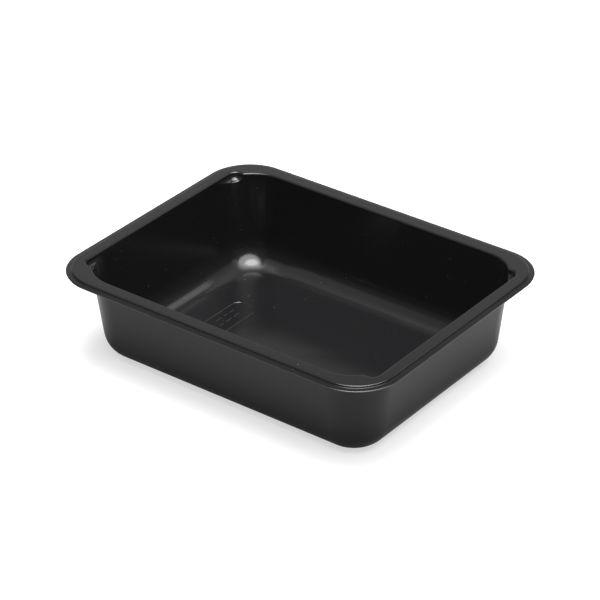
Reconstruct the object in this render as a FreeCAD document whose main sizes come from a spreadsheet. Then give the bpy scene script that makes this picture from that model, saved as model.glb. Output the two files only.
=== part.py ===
import FreeCAD, Part
import math
import os

import Sketcher
from FreeCAD import Vector

# A deli food pan: one sheet of plastic, drawn down over a mould into a rectangular pan.
# Frame: X runs along the long sides, Y along the short sides and Z up.  The origin is the
# middle of the base, on the surface that the pan stands on.  All sizes are in millimetres.

SIZES = [
    # alias, value, what it is
    ("rim_length", 227.5, "outside length over the lip"),
    ("rim_width", 178.0, "outside width over the lip"),
    ("rim_corner", 28.0, "corner radius of the lip"),
    ("pan_height", 58.0, "from the standing surface to the sealing flange"),
    ("sheet", 0.8, "thickness of the sheet in the rim, where it isn't stretched"),
    ("wall", 0.6, "thickness of the walls and floor, where forming has stretched it"),
    ("lip_width", 3.2, "how far the lip stands out from the skirt"),
    ("lip_drop", 1.5, "from the top of the flange to the top of the lip"),
    ("skirt_bend", 0.5, "radius between the flange and the skirt"),
    ("mouth_length", 206.4, "length of the cavity at the flange"),
    ("mouth_width", 155.8, "width of the cavity at the flange"),
    ("mouth_corner", 27.0, "corner radius of the cavity at the flange"),
    ("mouth_bend", 1.0, "radius between the flange and the walls"),
    ("draft", 7.25, "lean of the walls from upright, in degrees"),
    ("floor_bend", 16.0, "inside radius between the walls and the floor"),
    ("pocket_span", 138.0, "distance between the ends of the two pockets of one short side"),
    ("pocket_depth", 4.4, "from the flange down to the shelf of a stacking pocket"),
    ("pocket_corner", 5.0, "corner radius at the end of a stacking pocket"),
    ("panel_length", 50.0, "length of the marking panel, which a groove in the floor outlines"),
    ("panel_width", 17.6, "width of the marking panel"),
    ("panel_corner", 5.0, "corner radius of the marking panel"),
    ("panel_offset", 58.4, "from the middle of the pan to the middle of the marking panel"),
    ("groove_width", 1.2, "width of the groove round the marking panel"),
    ("groove_depth", 0.25, "depth of that groove"),
]

TOLERANCE = 0.01  # how far an edge may lie from the height it is looked for at
MARGIN = 1.0  # how far past a size an edge that is counted as inside it may reach

# Where a rounded rectangle's lines start from, before its sizes are bound to the sheet.
START_HALF_LENGTH, START_HALF_WIDTH, START_CORNER = 40.0, 30.0, 5.0

doc = FreeCAD.newDocument("deli_food_pan")


def make_sheet():
    """Puts every driving dimension in a cell of its own, with its name as the alias."""
    sheet = doc.addObject("Spreadsheet::Sheet", "Sizes")
    for row, (alias, value, meaning) in enumerate(SIZES, start=1):
        sheet.set(f"A{row}", meaning)
        sheet.set(f"B{row}", str(value))
        sheet.setAlias(f"B{row}", alias)
    doc.recompute()
    return sheet


def origin_plane(body, role):
    return next(item for item in body.Origin.OriginFeatures if item.Role == role)


def new_sketch(body, name, level):
    """An empty sketch parallel to the standing surface, at the height that level gives."""
    sketch = body.newObject("Sketcher::SketchObject", name)
    sketch.AttachmentSupport = [(origin_plane(body, "XY_Plane"), "")]
    sketch.MapMode = "FlatFace"
    sketch.setExpression("AttachmentOffset.Base.z", level)
    return sketch


def draw_rounded_rectangle(sketch, name, length, width, corner):
    """Draws a rounded rectangle about the sketch's origin, bound to the three expressions."""
    a, b, r = START_HALF_LENGTH, START_HALF_WIDTH, START_CORNER
    first = sketch.GeometryCount
    up = Vector(0, 0, 1)
    runs = [
        (Vector(r - a, -b, 0), Vector(a - r, -b, 0)),
        (Vector(a, r - b, 0), Vector(a, b - r, 0)),
        (Vector(a - r, b, 0), Vector(r - a, b, 0)),
        (Vector(-a, b - r, 0), Vector(-a, r - b, 0)),
    ]
    centres = [
        Vector(a - r, r - b, 0),
        Vector(a - r, b - r, 0),
        Vector(r - a, b - r, 0),
        Vector(r - a, r - b, 0),
    ]
    for side in range(4):
        sketch.addGeometry(Part.LineSegment(*runs[side]))
        begin = (side - 1) * math.pi / 2
        circle = Part.Circle(centres[side], up, r)
        sketch.addGeometry(Part.ArcOfCircle(circle, begin, begin + math.pi / 2))
    lines = [first + 2 * side for side in range(4)]
    arcs = [line + 1 for line in lines]
    for side in range(4):
        sketch.addConstraint(Sketcher.Constraint("Tangent", lines[side], 2, arcs[side], 1))
        sketch.addConstraint(Sketcher.Constraint("Tangent", arcs[side], 2, lines[(side + 1) % 4], 1))
        direction = "Horizontal" if side % 2 == 0 else "Vertical"
        sketch.addConstraint(Sketcher.Constraint(direction, lines[side]))
    for arc in arcs[1:]:
        sketch.addConstraint(Sketcher.Constraint("Equal", arcs[0], arc))
    sketch.addConstraint(Sketcher.Constraint("Symmetric", arcs[0], 3, arcs[2], 3, -1, 1))
    dimensions = [
        ("length", Sketcher.Constraint("DistanceX", lines[3], 1, lines[1], 1, 2 * a), length),
        ("width", Sketcher.Constraint("DistanceY", lines[0], 1, lines[2], 1, 2 * b), width),
        ("corner", Sketcher.Constraint("Radius", arcs[0], r), corner),
    ]
    for label, constraint, size in dimensions:
        index = sketch.addConstraint(constraint)
        sketch.renameConstraint(index, f"{name}_{label}")
        sketch.setExpression(f"Constraints.{name}_{label}", size)


def grow(alias, amount):
    """The expression for a sheet size made larger by a signed amount, itself an expression."""
    return f"Sizes.{alias} + {amount}"


def add_pad(body, name, sketch, depth, taper=None):
    """A pad that runs down from its sketch, with walls that lean inwards if it has a taper."""
    pad = body.newObject("PartDesign::Pad", name)
    pad.Profile = sketch
    pad.Reversed = True
    pad.setExpression("Length", depth)
    if taper:
        pad.setExpression("TaperAngle", taper)
    doc.recompute()
    return pad


def add_pocket(body, name, sketch, depth, taper=None):
    """A pocket that runs down from its sketch; it must take material away."""
    before = body.Shape.Volume
    pocket = body.newObject("PartDesign::Pocket", name)
    pocket.Profile = sketch
    pocket.setExpression("Length", depth)
    if taper:
        pocket.setExpression("TaperAngle", taper)
    doc.recompute()
    if not body.Shape.Volume < before:
        raise RuntimeError(f"{name} cuts nothing")
    return pocket


def add_fillet(body, name, wanted, radius):
    """Rounds every edge of the body's present shape that passes the test."""
    base = body.Tip
    names = [f"Edge{number}" for number, edge in enumerate(base.Shape.Edges, start=1) if wanted(edge)]
    if not names:
        raise RuntimeError(f"{name} finds no edge")
    fillet = body.newObject("PartDesign::Fillet", name)
    fillet.Base = (base, names)
    fillet.setExpression("Radius", radius)
    doc.recompute()
    return fillet


def lies_at(level):
    """A test for edges that lie wholly at one height."""
    def test(edge):
        box = edge.BoundBox
        return max(abs(box.ZMin - level), abs(box.ZMax - level)) < TOLERANCE

    return test


def lies_inside(level, half_length):
    """A test for edges at one height that don't reach past the given half length."""
    flat = lies_at(level)

    def test(edge):
        box = edge.BoundBox
        return flat(edge) and max(abs(box.XMin), abs(box.XMax)) < half_length + MARGIN

    return test


def make_pan(sheet):
    body = doc.addObject("PartDesign::Body", "pan_shell")
    body.Label = "pan_shell"
    height = sheet.pan_height
    both_walls = "2 * Sizes.wall"

    # The outside of the wall, as a tapered block; its base is rounded once the inside is.
    sketch = new_sketch(body, "wall_outline", "Sizes.pan_height")
    draw_rounded_rectangle(
        sketch,
        "wall",
        grow("mouth_length", both_walls),
        grow("mouth_width", both_walls),
        grow("mouth_corner", "Sizes.wall"),
    )
    add_pad(body, "wall_block", sketch, "Sizes.pan_height", "-Sizes.draft")

    # The outside of the stacking pockets: a block as long as the mouth but narrower, with tight
    # corners that stand out past the pan's round ones.
    sketch = new_sketch(body, "pocket_outline", "Sizes.pan_height")
    draw_rounded_rectangle(
        sketch,
        "pocket",
        grow("mouth_length", both_walls),
        grow("pocket_span", both_walls),
        grow("pocket_corner", "Sizes.wall"),
    )
    add_pad(body, "pocket_block", sketch, grow("pocket_depth", "Sizes.wall"), "-Sizes.draft")

    # The rim: the flat sealing flange, the skirt that turns down from it and the lip.
    skirt_length = grow("rim_length", "-2 * Sizes.lip_width")
    skirt_width = grow("rim_width", "-2 * Sizes.lip_width")
    skirt_corner = grow("rim_corner", "-Sizes.lip_width")
    inner_length = f"{skirt_length} - 2 * Sizes.sheet"
    inner_width = f"{skirt_width} - 2 * Sizes.sheet"
    inner_corner = f"{skirt_corner} - Sizes.sheet"
    sketch = new_sketch(body, "flange_outline", "Sizes.pan_height")
    draw_rounded_rectangle(sketch, "flange", skirt_length, skirt_width, skirt_corner)
    add_pad(body, "flange_plate", sketch, "Sizes.sheet")
    sketch = new_sketch(body, "skirt_outline", "Sizes.pan_height")
    draw_rounded_rectangle(sketch, "skirt", skirt_length, skirt_width, skirt_corner)
    draw_rounded_rectangle(sketch, "skirt_inner", inner_length, inner_width, inner_corner)
    add_pad(body, "skirt_ring", sketch, grow("lip_drop", "Sizes.sheet"))
    add_fillet(body, "skirt_round", lies_at(height), "Sizes.skirt_bend")
    sketch = new_sketch(body, "lip_outline", "Sizes.pan_height - Sizes.lip_drop")
    draw_rounded_rectangle(sketch, "lip", "Sizes.rim_length", "Sizes.rim_width", "Sizes.rim_corner")
    draw_rounded_rectangle(sketch, "lip_inner", inner_length, inner_width, inner_corner)
    add_pad(body, "lip_ring", sketch, "Sizes.sheet")

    # The inside: the cavity, its rounded floor and mouth, and the pockets at the four corners.
    sketch = new_sketch(body, "mouth_outline", "Sizes.pan_height")
    draw_rounded_rectangle(sketch, "mouth", "Sizes.mouth_length", "Sizes.mouth_width", "Sizes.mouth_corner")
    add_pocket(body, "cavity", sketch, "Sizes.pan_height - Sizes.wall", "-Sizes.draft")
    add_fillet(body, "floor_round", lies_at(sheet.wall), "Sizes.floor_bend")
    add_fillet(body, "base_round", lies_at(0.0), grow("floor_bend", "Sizes.wall"))
    add_fillet(body, "mouth_round", lies_inside(height, sheet.mouth_length / 2), "Sizes.mouth_bend")
    sketch = new_sketch(body, "pocket_inner_outline", "Sizes.pan_height")
    draw_rounded_rectangle(sketch, "hollow", "Sizes.mouth_length", "Sizes.pocket_span", "Sizes.pocket_corner")
    add_pocket(body, "stacking_pockets", sketch, "Sizes.pocket_depth", "-Sizes.draft")

    # The marking panel: a plain area of the floor near one short side, with a groove round it.
    both_grooves = "-2 * Sizes.groove_width"
    sketch = new_sketch(body, "panel_outline", "Sizes.wall")
    sketch.setExpression("AttachmentOffset.Base.x", "-Sizes.panel_offset")
    draw_rounded_rectangle(sketch, "panel", "Sizes.panel_width", "Sizes.panel_length", "Sizes.panel_corner")
    draw_rounded_rectangle(
        sketch,
        "panel_inner",
        grow("panel_width", both_grooves),
        grow("panel_length", both_grooves),
        grow("panel_corner", "-Sizes.groove_width"),
    )
    add_pocket(body, "panel_groove", sketch, "Sizes.groove_depth")
    body.Placement = FreeCAD.Placement(Vector(0, 0, 0), FreeCAD.Rotation())
    return body


def check_document():
    for item in doc.Objects:
        if "Invalid" in item.State or "Error" in item.State:
            raise RuntimeError(f"{item.Label} failed: {item.State}")


def export(parts):
    os.makedirs("parts", exist_ok=True)
    for part in parts:
        shape = part.Shape
        if shape.isNull() or not shape.isValid() or len(shape.Solids) != 1:
            raise RuntimeError(f"{part.Label} is not one valid solid")
        shape.exportStep(f"parts/{part.Label}.step")
        box = shape.BoundBox
        lengths = [round(length, 2) for length in (box.XLength, box.YLength, box.ZLength)]
        print(part.Label, lengths, round(shape.Volume))


sizes = make_sheet()
pan = make_pan(sizes)
doc.recompute()
check_document()
export([pan])
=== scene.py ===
import math

import bmesh
import bpy
from bpy.props import FloatProperty, FloatVectorProperty, PointerProperty
from bpy.types import Operator, Panel, PropertyGroup
from mathutils import Matrix, Vector


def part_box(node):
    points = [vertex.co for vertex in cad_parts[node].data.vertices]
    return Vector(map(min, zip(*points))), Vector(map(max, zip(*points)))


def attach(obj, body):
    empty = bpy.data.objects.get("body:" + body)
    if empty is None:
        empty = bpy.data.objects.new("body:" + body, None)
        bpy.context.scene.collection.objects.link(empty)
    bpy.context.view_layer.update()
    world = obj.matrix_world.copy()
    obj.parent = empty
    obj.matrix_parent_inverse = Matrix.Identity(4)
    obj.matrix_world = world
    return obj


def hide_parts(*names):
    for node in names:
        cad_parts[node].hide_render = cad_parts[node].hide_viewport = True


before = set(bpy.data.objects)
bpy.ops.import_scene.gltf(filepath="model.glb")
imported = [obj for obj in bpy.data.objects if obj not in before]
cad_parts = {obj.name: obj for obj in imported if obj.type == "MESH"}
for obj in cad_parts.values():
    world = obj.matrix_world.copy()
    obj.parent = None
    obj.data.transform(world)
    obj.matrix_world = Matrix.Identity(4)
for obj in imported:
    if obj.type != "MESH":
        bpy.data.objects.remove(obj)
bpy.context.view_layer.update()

bl_info = {
    "name": "Deli Food Pan",
    "version": (1, 0, 0),
    "blender": (4, 5, 0),
    "location": "View3D > Sidebar > Food Pan",
    "description": "Builds a formed black plastic deli pan and the studio it stands in",
    "category": "Object",
}

MM = 0.001
NODE = "pan_shell"
LOW, HIGH = (Vector(corner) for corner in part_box(NODE))
UP = Vector((0, 0, 1))

# Tolerances, in metres: points that share a place or a plane, points merged in the finished skin,
# points merged under the rim once it is thick, and how near a pressed point comes to its form.
SAME_PLACE = 1e-6
SKIN_GAP = 1e-7
FOLD_GAP = 0.002 * MM
PRESSED_HOME = 1e-7

# A shorter vector has no direction, and two directions with a smaller squared sine are parallel.
NO_LENGTH = 1e-9
PARALLEL = 1e-4

# How far below the pockets the wall is finely divided, and how far below them points are pressed.
FINE_BAND = 2.5 * MM
PRESS_BAND = 2 * MM
PRESS_TRIES = 60

# The height below the lip over which the sheet thins to the thickness of the walls.
THINNING = 10 * MM

FLANGE_ROWS = 16
BAR_SIDES = 24

# The sizes of the finish's patterns, and how sharply and strongly the dust shows.
COOLING_PATCH = 25 * MM
DUST_NOISE = 1.4 * MM
RIPPLE_WIDTH = 7 * MM
DUST_EDGE = 0.04
DUST_STRENGTH = 0.25

# The noise lies mostly between these values.
NOISE_LOW, NOISE_HIGH = 0.3, 0.7

ROOM_GREY = 0.16
LIGHT_DISTANCE = 2.5

# The plain marks in the marking panel, in millimetres from its middle: x, y and length.
PANEL_MARKS = (
    (-3.4, 1.5, 5.5), (-3.4, 8.0, 3.5), (-3.4, 13.5, 4.0),
    (1.6, -2.0, 4.0), (1.6, 4.5, 5.5), (1.6, 12.0, 6.0),
)


def length_property(name, description, default):
    return FloatProperty(name=name, description=description, default=default, unit="LENGTH", precision=4)


def angle_property(name, description, degrees):
    return FloatProperty(name=name, description=description, default=math.radians(degrees), subtype="ANGLE")


def hex_colour(code):
    """Turns an sRGB hex code into linear red, green and blue."""
    parts = [int(code[start:start + 2], 16) / 255 for start in (1, 3, 5)]
    return tuple(part / 12.92 if part <= 0.04045 else ((part + 0.055) / 1.055) ** 2.4 for part in parts)


class PanSizes(PropertyGroup):
    """The pan's sizes, in metres; the outside ones come from the pan_shell part in model.glb."""

    rim_length: length_property("Rim length", "Outside length over the lip", HIGH.x - LOW.x)
    rim_width: length_property("Rim width", "Outside width over the lip", HIGH.y - LOW.y)
    height: length_property("Height", "From the standing surface to the flange", HIGH.z - LOW.z)
    rim_corner: length_property("Rim corner", "Corner radius of the lip", 28.0 * MM)
    sheet: length_property("Sheet", "Thickness of the rim", 0.8 * MM)
    wall: length_property("Wall", "Thickness of the walls and floor", 0.6 * MM)
    lip_width: length_property("Lip width", "How far the lip stands out from the skirt", 3.2 * MM)
    lip_drop: length_property("Lip drop", "From the flange down to the edge of the lip", 1.5 * MM)
    skirt_bend: length_property("Skirt bend", "Radius between the flange and the skirt", 0.8 * MM)
    lip_bend: length_property("Lip bend", "Radius between the skirt and the lip", 0.35 * MM)
    edge_bend: length_property("Edge bend", "Radius where the lip turns down at its edge", 1.8 * MM)
    edge_slope: angle_property("Edge slope", "How steeply the lip falls at its edge", 28.0)
    lip_slope: angle_property("Lip slope", "How steeply the lip falls before its edge", 3.0)
    mouth_length: length_property("Mouth length", "Length of the cavity at the flange", 206.4 * MM)
    mouth_width: length_property("Mouth width", "Width of the cavity at the flange", 155.8 * MM)
    mouth_corner: length_property("Mouth corner", "Corner radius of the cavity at the flange", 27.0 * MM)
    mouth_bend: length_property("Mouth bend", "Radius between the flange and the walls", 1.0 * MM)
    draft: angle_property("Draft", "Lean of the walls from upright", 7.25)
    floor_bend: length_property("Floor bend", "Inside radius between the walls and the floor", 16.0 * MM)
    pocket_span: length_property("Pocket span", "Between the ends of one short side's pockets", 138.0 * MM)
    pocket_depth: length_property("Pocket depth", "From the flange down to a pocket's shelf", 4.4 * MM)
    pocket_corner: length_property("Pocket corner", "Corner radius at the end of a pocket", 5.0 * MM)
    shelf_bend: length_property("Shelf bend", "Radius between a pocket's shelf and its sides", 3.0 * MM)
    panel_length: length_property("Panel length", "Length of the marking panel", 50.0 * MM)
    panel_width: length_property("Panel width", "Width of the marking panel", 17.6 * MM)
    panel_corner: length_property("Panel corner", "Corner radius of the marking panel", 5.0 * MM)
    panel_offset: length_property("Panel offset", "From the pan's middle to the panel's", 58.4 * MM)
    groove_width: length_property("Groove width", "Width of the groove round the panel", 1.2 * MM)
    groove_depth: length_property("Groove depth", "Depth of the groove round the panel", 0.25 * MM)


class PanFinish(PropertyGroup):
    """The colours and gloss of the pan."""

    plastic: FloatVectorProperty(
        name="Plastic", description="Colour of the black plastic", subtype="COLOR",
        default=hex_colour("#111112"),
    )
    roughness: FloatProperty(name="Roughness", description="Roughness of the formed surface", default=0.18)
    dulling: FloatProperty(
        name="Dulling", description="How far the roughness strays either way", default=0.015
    )
    dust: FloatVectorProperty(
        name="Dust", description="Colour of the dust specks", subtype="COLOR", default=hex_colour("#77777a")
    )
    dust_level: FloatProperty(
        name="Dust level", description="Noise value above which a speck shows", default=0.86
    )
    ripple: length_property("Ripple", "Height of the ripple left by the mould", 0.004 * MM)


class StageSettings(PropertyGroup):
    """The camera and the lights around the pan."""

    azimuth: angle_property("Azimuth", "Turn of the camera about the pan", 38.0)
    elevation: angle_property("Elevation", "Height of the camera above the horizon", 30.83)
    roll: angle_property("Roll", "Turn of the camera about its own axis", -0.8)
    distance: length_property("Distance", "From the camera to the point it looks at", 1.5475)
    aim_height: length_property("Aim height", "Height of the point the camera looks at", 36.6 * MM)
    focal_length: FloatProperty(name="Focal length", description="Lens, in millimetres", default=162.4)


# ---------------------------------------------------------------- shaping the sheet


def trace_run(bm, vert, offset, steps=1):
    """Draws a straight run of a section from its last vertex, and returns its new last vertex."""
    for _ in range(steps):
        vert = bmesh.ops.extrude_vert_indiv(bm, verts=[vert])["verts"][0]
        bmesh.ops.translate(bm, verts=[vert], vec=offset / steps)
    return vert


def trace_bend(bm, vert, centre, angle, steps):
    """Draws a round bend of a section about an axis along Y, and returns its new last vertex."""
    swept = bmesh.ops.spin(bm, geom=[vert], cent=centre, axis=(0, 1, 0), angle=angle, steps=steps)
    return next(item for item in swept["geom_last"] if isinstance(item, bmesh.types.BMVert))


def trace_wall(bm, sizes, centre):
    """The section of the floor bend, the wall and the mouth bend, through a corner's centre."""
    lean = math.pi / 2 - sizes.draft
    across = Vector((math.sin(sizes.draft), 0, math.cos(sizes.draft)))
    mouth = Vector((centre.x + sizes.mouth_corner, centre.y, sizes.height))
    upper = sizes.mouth_bend * math.tan(lean / 2)
    lower = sizes.floor_bend * math.tan(lean / 2)
    full = (sizes.height - sizes.wall) / across.z
    start = mouth - across * full - Vector((lower, 0, 0))
    vert = bm.verts.new(start)
    vert = trace_bend(bm, vert, start + UP * sizes.floor_bend, -lean, steps=16)
    band = sizes.pocket_depth + FINE_BAND
    vert = trace_run(bm, vert, across * (full - lower - band / across.z), steps=8)
    vert = trace_run(bm, vert, across * (band / across.z - upper), steps=18)
    end = mouth + Vector((upper, 0, 0))
    return trace_bend(bm, vert, end - UP * sizes.mouth_bend, lean, steps=8)


def trace_rim(bm, sizes, centre):
    """The section of the skirt and the lip, through a corner's centre."""
    reach = sizes.rim_corner - sizes.lip_width - sizes.skirt_bend
    start = Vector((centre.x + reach, centre.y, sizes.height))
    vert = bm.verts.new(start)
    vert = trace_bend(bm, vert, start - UP * sizes.skirt_bend, math.pi / 2, steps=8)
    turn = math.pi / 2 - sizes.lip_slope
    edge = sizes.edge_bend * (math.sin(sizes.edge_slope) - math.sin(sizes.lip_slope))
    edge_fall = sizes.edge_bend * (math.cos(sizes.lip_slope) - math.cos(sizes.edge_slope))
    run = sizes.lip_width - sizes.lip_bend * (1 - math.cos(turn)) - edge
    depth = sizes.lip_bend * math.sin(turn)
    fall = run * math.tan(sizes.lip_slope)
    drop = sizes.lip_drop - sizes.skirt_bend - depth - fall - edge_fall
    vert = trace_run(bm, vert, UP * -drop)
    vert = trace_bend(bm, vert, vert.co + Vector((sizes.lip_bend, 0, 0)), -turn, steps=5)
    vert = trace_run(bm, vert, Vector((run, 0, -fall)), steps=2)
    inward = Vector((-math.sin(sizes.lip_slope), 0, -math.cos(sizes.lip_slope)))
    turn_down = sizes.edge_slope - sizes.lip_slope
    return trace_bend(bm, vert, vert.co + inward * sizes.edge_bend, turn_down, steps=6)


def sweep_corner(bm, centre, fine_angle, fine_steps, coarse_steps, side_steps):
    """Sweeps a section round a quarter of the pan: the corner and half of each side."""
    section = list(bm.verts) + list(bm.edges)
    ring = section
    for angle, steps in ((fine_angle, fine_steps), (math.pi / 2 - fine_angle, coarse_steps)):
        swept = bmesh.ops.spin(bm, geom=ring, cent=centre, axis=(0, 0, 1), angle=angle, steps=steps)
        ring = swept["geom_last"]
    for geometry, offset in ((ring, Vector((-centre.x, 0, 0))), (section, Vector((0, -centre.y, 0)))):
        edges = [item for item in geometry if isinstance(item, bmesh.types.BMEdge)]
        for _ in range(side_steps):
            made = bmesh.ops.extrude_edge_only(bm, edges=edges)["geom"]
            verts = [item for item in made if isinstance(item, bmesh.types.BMVert)]
            bmesh.ops.translate(bm, verts=verts, vec=offset / side_steps)
            edges = [
                item for item in made
                if isinstance(item, bmesh.types.BMEdge) and all(end in verts for end in item.verts)
            ]


def join_meshes(target, source):
    """Adds one bmesh's geometry to another."""
    mesh = bpy.data.meshes.new("joined")
    source.to_mesh(mesh)
    target.from_mesh(mesh)
    bpy.data.meshes.remove(mesh)


def lay_flange(bm, height, rows):
    """Fills the flat flange between the mouth bend and the skirt bend with rows of faces."""
    def on_flange(edge):
        ends = [vert.co for vert in edge.verts]
        flat = all(abs(end.z - height) < SAME_PLACE for end in ends)
        middle = any(all(abs(end[axis]) < SAME_PLACE for end in ends) for axis in (0, 1))
        return edge.is_boundary and flat and not middle

    bridged = bmesh.ops.bridge_loops(bm, edges=[edge for edge in bm.edges if on_flange(edge)])
    bmesh.ops.subdivide_edges(bm, edges=bridged["edges"], cuts=rows - 1, use_grid_fill=True)


def round_union(first, second, radius):
    """Joins two hollows, each a depth and a direction, and rounds the edge where they meet."""
    nearest = min(first, second, key=lambda hollow: hollow[0])
    cosine = first[1].dot(second[1])
    sine_squared = 1 - cosine * cosine
    if sine_squared < PARALLEL:
        return nearest
    a, b = first[0] - radius, second[0] - radius
    if cosine * b - a > 0 and cosine * a - b > 0:
        reach = math.sqrt((a * a + b * b - 2 * a * b * cosine) / sine_squared)
        return radius - reach, nearest[1]
    return nearest


def depth_in_sheet(point, sizes, centre):
    """How deep a point lies in the material of a corner.

    It is negative above the flange and in the hollows.
    """
    sine, cosine = math.sin(sizes.draft), math.cos(sizes.draft)
    below = sizes.height - point.z
    inset = below * math.tan(sizes.draft)
    flange = (below, Vector((0, 0, -1)))
    off = Vector((max(point.x - centre.x, 0), max(point.y - centre.y, 0)))
    outward = off.normalized() if off.length > NO_LENGTH else Vector((1, 0))
    wall = (
        (off.length - sizes.mouth_corner + inset) * cosine,
        Vector((outward.x * cosine, outward.y * cosine, -sine)),
    )
    corner, bend = sizes.pocket_corner, sizes.shelf_bend
    box = Vector((
        point.x - (sizes.mouth_length / 2 - inset - corner),
        point.y - (sizes.pocket_span / 2 - inset - corner),
    ))
    over = Vector((max(box.x, 0), max(box.y, 0)))
    nearest_side = Vector((float(box.x > box.y), float(box.x <= box.y)))
    side = over.normalized() if over.length > NO_LENGTH else nearest_side
    aside = over.length + min(max(box), 0) - corner + bend
    under = below - sizes.pocket_depth + bend
    if min(aside, under) > 0:
        reach = math.hypot(aside, under)
        pocket = (reach - bend, Vector((side.x * aside, side.y * aside, -under)) / reach)
    elif aside > under:
        pocket = (aside - bend, side.to_3d())
    else:
        pocket = (under - bend, -UP)
    inside = round_union(wall, pocket, sizes.mouth_bend)
    return round_union(inside, flange, sizes.mouth_bend)[0]


def press_pocket(bm, sizes, centre):
    """Presses a stacking pocket into the quarter's corner.

    Each point there moves outwards and down until it meets the form.
    """
    direction = Vector((1, 1, -1)).normalized()
    lowest = sizes.height - sizes.pocket_depth - PRESS_BAND
    for vert in bm.verts:
        if vert.co.z < lowest or vert.co.y < centre.y or vert.co.x < centre.x:
            continue
        for _ in range(PRESS_TRIES):
            depth = depth_in_sheet(vert.co, sizes, centre)
            if depth > -PRESSED_HOME:
                break
            vert.co -= direction * depth


def mirror_quarter(bm):
    for axis in "XY":
        bmesh.ops.mirror(bm, geom=bm.verts[:] + bm.edges[:] + bm.faces[:], axis=axis, merge_dist=SAME_PLACE)


def fill_floor(bm, level):
    def on_floor(edge):
        return edge.is_boundary and all(abs(end.co.z - level) < SAME_PLACE for end in edge.verts)

    bmesh.ops.contextual_create(bm, geom=[edge for edge in bm.edges if on_floor(edge)])


def corner_centre(length, width, radius):
    return Vector((length / 2 - radius, width / 2 - radius, 0))


def make_upper_skin(sizes):
    """The upper face of the whole sheet, from the middle of the floor to the edge of the lip."""
    steps = {"fine_angle": math.radians(50), "fine_steps": 75, "coarse_steps": 12, "side_steps": 4}
    wall_centre = corner_centre(sizes.mouth_length, sizes.mouth_width, sizes.mouth_corner)
    bm = bmesh.new()
    trace_wall(bm, sizes, wall_centre)
    sweep_corner(bm, wall_centre, **steps)
    rim = bmesh.new()
    rim_centre = corner_centre(sizes.rim_length, sizes.rim_width, sizes.rim_corner)
    trace_rim(rim, sizes, rim_centre)
    sweep_corner(rim, rim_centre, **steps)
    join_meshes(bm, rim)
    rim.free()
    lay_flange(bm, sizes.height, FLANGE_ROWS)
    press_pocket(bm, sizes, wall_centre)
    mirror_quarter(bm)
    fill_floor(bm, sizes.wall)
    bmesh.ops.remove_doubles(bm, verts=bm.verts, dist=SKIN_GAP)
    bmesh.ops.recalc_face_normals(bm, faces=bm.faces)
    top = max(bm.faces, key=lambda face: face.calc_area())
    if top.normal.z < 0:
        bmesh.ops.reverse_faces(bm, faces=bm.faces)
    return bm


def thicken(piece, sizes):
    """Gives the sheet its thickness below the skin, full in the rim and thinner where it was stretched."""
    group = piece.vertex_groups.new(name="thickness")
    thin = sizes.wall / sizes.sheet
    for vert in piece.data.vertices:
        below = sizes.height - vert.co.z
        share = min(max((below - sizes.lip_drop) / THINNING, 0), 1)
        group.add([vert.index], 1 + (thin - 1) * share, "REPLACE")
    solidify = piece.modifiers.new("sheet", "SOLIDIFY")
    solidify.thickness = sizes.sheet
    solidify.offset = -1
    solidify.vertex_group = group.name
    apply_modifiers(piece)
    piece.vertex_groups.clear()
    merge_points(piece)


def merge_points(piece):
    """Merges the points that fall together where a bend's radius equals the sheet's thickness."""
    bm = bmesh.new()
    bm.from_mesh(piece.data)
    bmesh.ops.remove_doubles(bm, verts=bm.verts, dist=FOLD_GAP)
    bm.to_mesh(piece.data)
    bm.free()


def apply_modifiers(piece):
    bpy.context.view_layer.update()
    result = bpy.data.meshes.new_from_object(piece.evaluated_get(bpy.context.evaluated_depsgraph_get()))
    piece.modifiers.clear()
    old, piece.data = piece.data, result
    bpy.data.meshes.remove(old)


def make_panel_tool(sizes):
    """A round bar bent to the marking panel's outline, and short bars for the plain marks inside it."""
    half = sizes.groove_width / 2
    radius = (half ** 2 + sizes.groove_depth ** 2) / (2 * sizes.groove_depth)
    upright = Matrix.Rotation(math.pi / 2, 4, "X")
    corner = sizes.panel_corner - half
    centre = corner_centre(sizes.panel_width - 2 * half, sizes.panel_length - 2 * half, corner)
    bm = bmesh.new()
    section = Matrix.Translation(centre + Vector((corner, 0, 0))) @ upright
    bmesh.ops.create_circle(bm, segments=BAR_SIDES, radius=radius, matrix=section)
    sweep_corner(bm, centre, fine_angle=math.radians(45), fine_steps=6, coarse_steps=6, side_steps=1)
    mirror_quarter(bm)
    for x, y, length in PANEL_MARKS:
        along = Matrix.Translation((x * MM, y * MM, 0)) @ upright
        bmesh.ops.create_cone(
            bm, cap_ends=True, segments=BAR_SIDES,
            radius1=radius, radius2=radius, depth=length * MM, matrix=along,
        )
    depth = Vector((-sizes.panel_offset, 0, sizes.wall - sizes.groove_depth + radius))
    bmesh.ops.translate(bm, verts=bm.verts, vec=depth)
    bmesh.ops.recalc_face_normals(bm, faces=bm.faces)
    return bm


def cut_panel(piece, sizes):
    """Cuts the marking panel's groove and marks into the floor."""
    tool = add_piece("panel_tool", make_panel_tool(sizes))
    cut = piece.modifiers.new("panel", "BOOLEAN")
    cut.operation = "DIFFERENCE"
    cut.solver = "EXACT"
    cut.object = tool
    apply_modifiers(piece)
    bpy.data.meshes.remove(tool.data)


def add_piece(name, bm):
    mesh = bpy.data.meshes.new(name)
    bm.to_mesh(mesh)
    bm.free()
    piece = bpy.data.objects.new(name, mesh)
    bpy.context.scene.collection.objects.link(piece)
    return piece


# ---------------------------------------------------------------- finishes


def add_node(tree, kind, settings=None, links=None):
    """Adds a node, sets its properties and sockets by name, and links sockets into it."""
    node = tree.nodes.new(kind)
    for name, value in (settings or {}).items():
        if isinstance(name, int) or name in node.inputs:
            node.inputs[name].default_value = value
        else:
            setattr(node, name, value)
    for name, socket in (links or {}).items():
        tree.links.new(socket, node.inputs[name])
    return node


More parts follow.
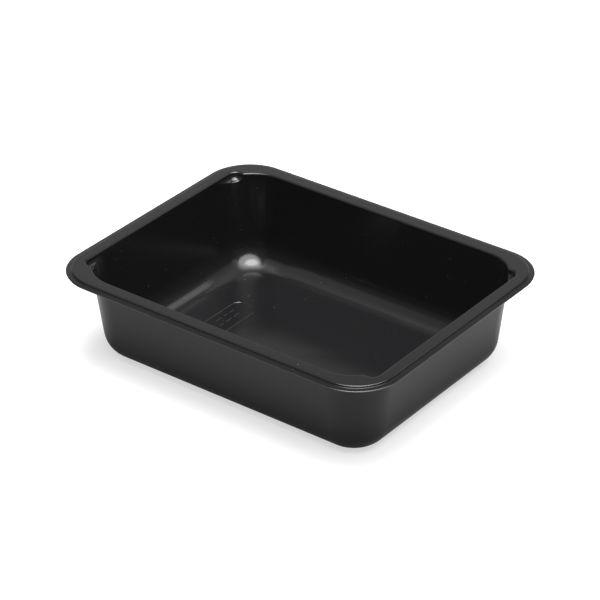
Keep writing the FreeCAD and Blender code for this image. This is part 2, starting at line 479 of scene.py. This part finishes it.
def black_polyester(finish):
    """Crystalline polyester sheet, vacuum formed: deep black with a soft gloss."""
    material = bpy.data.materials.new("black_polyester_formed")
    material.use_nodes = True
    tree = material.node_tree
    shader = tree.nodes["Principled BSDF"]
    shader.inputs["IOR"].default_value = 1.42
    place = add_node(tree, "ShaderNodeTexCoord").outputs["Object"]

    # Patches about 25 mm across that cooled faster and are a little duller, so that the gloss
    # changes slowly over the walls.
    patches = {"Scale": 1 / COOLING_PATCH, "Detail": 3.0}
    cooling = add_node(tree, "ShaderNodeTexNoise", patches, {"Vector": place})
    gloss = {
        "From Min": NOISE_LOW, "From Max": NOISE_HIGH,
        "To Min": finish.roughness - finish.dulling, "To Max": finish.roughness + finish.dulling,
    }
    dull = add_node(tree, "ShaderNodeMapRange", gloss, {"Value": cooling.outputs[0]})
    tree.links.new(dull.outputs[0], shader.inputs["Roughness"])

    # Dust: pale specks under a millimetre across, drawn larger than real dust so that they show.
    grains = {"Scale": 1 / DUST_NOISE, "Detail": 0.0}
    specks = add_node(tree, "ShaderNodeTexNoise", grains, {"Vector": place})
    rare = {
        "From Min": finish.dust_level, "From Max": finish.dust_level + DUST_EDGE,
        "To Min": 0.0, "To Max": DUST_STRENGTH,
    }
    dust = add_node(tree, "ShaderNodeMapRange", rare, {"Value": specks.outputs[0]})
    colours = {"data_type": "RGBA", 6: (*finish.plastic, 1), 7: (*finish.dust, 1)}
    colour = add_node(tree, "ShaderNodeMix", colours, {0: dust.outputs[0]})
    tree.links.new(colour.outputs[2], shader.inputs["Base Color"])

    # Ripple about 7 mm across and a few thousandths of a millimetre high, left where the hot
    # sheet touched the mould: it makes long reflections waver.
    waves = {"Scale": 1 / RIPPLE_WIDTH, "Detail": 1.0}
    ripple = add_node(tree, "ShaderNodeTexNoise", waves, {"Vector": place})
    relief = {"Strength": 1.0, "Distance": finish.ripple}
    bump = add_node(tree, "ShaderNodeBump", relief, {"Height": ripple.outputs[0]})
    tree.links.new(bump.outputs[0], shader.inputs["Normal"])
    return material


def table_top(name, shade, glow):
    material = bpy.data.materials.new(name)
    material.use_nodes = True
    shader = material.node_tree.nodes["Principled BSDF"]
    shader.inputs["Base Color"].default_value = (shade, shade, shade, 1)
    shader.inputs["Roughness"].default_value = 0.9
    shader.inputs["Specular IOR Level"].default_value = 0.0
    shader.inputs["Emission Color"].default_value = (1, 1, 1, 1)
    shader.inputs["Emission Strength"].default_value = glow
    return material


# Each light's name and shape, then its azimuth, elevation, turn about its own axis, width and
# height, all in degrees, and its radiance.
LIGHTS = (
    ("softbox", "ELLIPSE", 349, 80, -37, 56, 70, 6.5),
    ("softbox_core", "ELLIPSE", 312, 86, 0, 30, 32, 9),
    ("backdrop", "RECTANGLE", 128, 17, 0, 80, 36, 0.41),
    ("side_panel", "RECTANGLE", 208, 49, -40, 46, 14, 0.6),
    ("rear_strip", "RECTANGLE", 74, 46, 0, 22, 9, 2.6),
)


# ---------------------------------------------------------------- operators


class PAN_OT_sheet(Operator):
    """Builds the pan: one formed sheet with its flange, lip, walls, stacking pockets and floor"""

    bl_idname = "pan.sheet"
    bl_label = "Formed Pan"

    def execute(self, context):
        sizes = context.scene.pan_sizes
        piece = add_piece("formed_pan", make_upper_skin(sizes))
        thicken(piece, sizes)
        cut_panel(piece, sizes)
        piece.data.shade_smooth()
        piece.data.set_sharp_from_angle(angle=math.radians(30))
        piece.data.materials.append(black_polyester(context.scene.pan_finish))
        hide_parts(NODE)
        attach(piece, "root")
        return {"FINISHED"}


class PAN_OT_stage(Operator):
    """Lays the white table and sets up the lights and the camera"""

    bl_idname = "pan.stage"
    bl_label = "Studio"

    def execute(self, context):
        settings = context.scene.pan_stage
        # The camera sees the white table and the plastic reflects the shaded one, in the same
        # place; neither of them blocks light.
        table = self.add_table("white_table", shade=0.46, glow=0.60)
        table.visible_glossy = table.visible_diffuse = False
        shaded = self.add_table("shaded_table", shade=0.28, glow=0)
        table.visible_shadow = shaded.visible_shadow = shaded.visible_camera = False
        self.add_camera(context, settings)
        self.add_lights(context)
        return {"FINISHED"}

    def add_table(self, name, shade, glow):
        bm = bmesh.new()
        bmesh.ops.create_grid(bm, x_segments=1, y_segments=1, size=4)
        table = add_piece(name, bm)
        table.data.materials.append(table_top(name, shade, glow))
        return table

    def add_camera(self, context, settings):
        turn, rise, roll = settings.azimuth, settings.elevation, settings.roll
        back = Vector((math.sin(turn) * math.cos(rise), -math.cos(turn) * math.cos(rise), math.sin(rise)))
        right = Vector((math.cos(turn), math.sin(turn), 0))
        facing = Matrix((right, back.cross(right), back)).transposed()
        camera = bpy.data.cameras.new("camera")
        camera.lens = settings.focal_length
        camera.sensor_width = 36
        camera.clip_end = 20
        holder = bpy.data.objects.new("camera", camera)
        place = back * settings.distance + Vector((0, 0, settings.aim_height))
        holder.matrix_world = Matrix.Translation(place) @ facing.to_4x4() @ Matrix.Rotation(roll, 4, "Z")
        context.scene.collection.objects.link(holder)
        context.scene.camera = holder

    def add_lights(self, context):
        context.scene.view_settings.view_transform = "Standard"
        world = bpy.data.worlds.new("studio")
        world.use_nodes = True
        background = world.node_tree.nodes["Background"]
        background.inputs["Color"].default_value = (ROOM_GREY, ROOM_GREY, ROOM_GREY, 1)
        context.scene.world = world
        for light in LIGHTS:
            self.add_softbox(context, *light)

    def add_softbox(self, context, name, shape, azimuth, elevation, turn, width, height, radiance):
        """Hangs a light that faces the pan; its sides are angles and its power follows from its radiance."""
        light = bpy.data.lights.new(name, "AREA")
        light.shape = shape
        light.size = 2 * LIGHT_DISTANCE * math.tan(math.radians(width / 2))
        light.size_y = 2 * LIGHT_DISTANCE * math.tan(math.radians(height / 2))
        light.energy = math.pi * light.size * light.size_y * radiance
        holder = bpy.data.objects.new(name, light)
        turned = Matrix.Rotation(math.radians(azimuth + 90), 4, "Z")
        raised = Matrix.Rotation(math.radians(90 - elevation), 4, "X")
        place = Matrix.Translation((0, 0, LIGHT_DISTANCE)) @ Matrix.Rotation(math.radians(turn), 4, "Z")
        holder.matrix_world = turned @ raised @ place
        context.scene.collection.objects.link(holder)


class PAN_PT_panel(Panel):
    """Lists what the add-on builds"""

    bl_idname = "PAN_PT_panel"
    bl_label = "Deli Food Pan"
    bl_space_type = "VIEW_3D"
    bl_region_type = "UI"
    bl_category = "Food Pan"

    def draw(self, context):
        for group in (context.scene.pan_sizes, context.scene.pan_finish, context.scene.pan_stage):
            box = self.layout.box()
            for name in group.bl_rna.properties.keys():
                if name not in {"rna_type", "name"}:
                    box.prop(group, name)
        for operator in OPERATORS:
            self.layout.operator(operator.bl_idname)


OPERATORS = (PAN_OT_sheet, PAN_OT_stage)
GROUPS = {"pan_sizes": PanSizes, "pan_finish": PanFinish, "pan_stage": StageSettings}


def register():
    for item in (*GROUPS.values(), *OPERATORS, PAN_PT_panel):
        bpy.utils.register_class(item)
    for name, group in GROUPS.items():
        setattr(bpy.types.Scene, name, PointerProperty(type=group))


def unregister():
    for name in GROUPS:
        delattr(bpy.types.Scene, name)
    for item in reversed((*GROUPS.values(), *OPERATORS, PAN_PT_panel)):
        bpy.utils.unregister_class(item)


def main():
    register()
    bpy.ops.pan.stage()
    bpy.ops.pan.sheet()


if __name__ == "__main__":
    main()
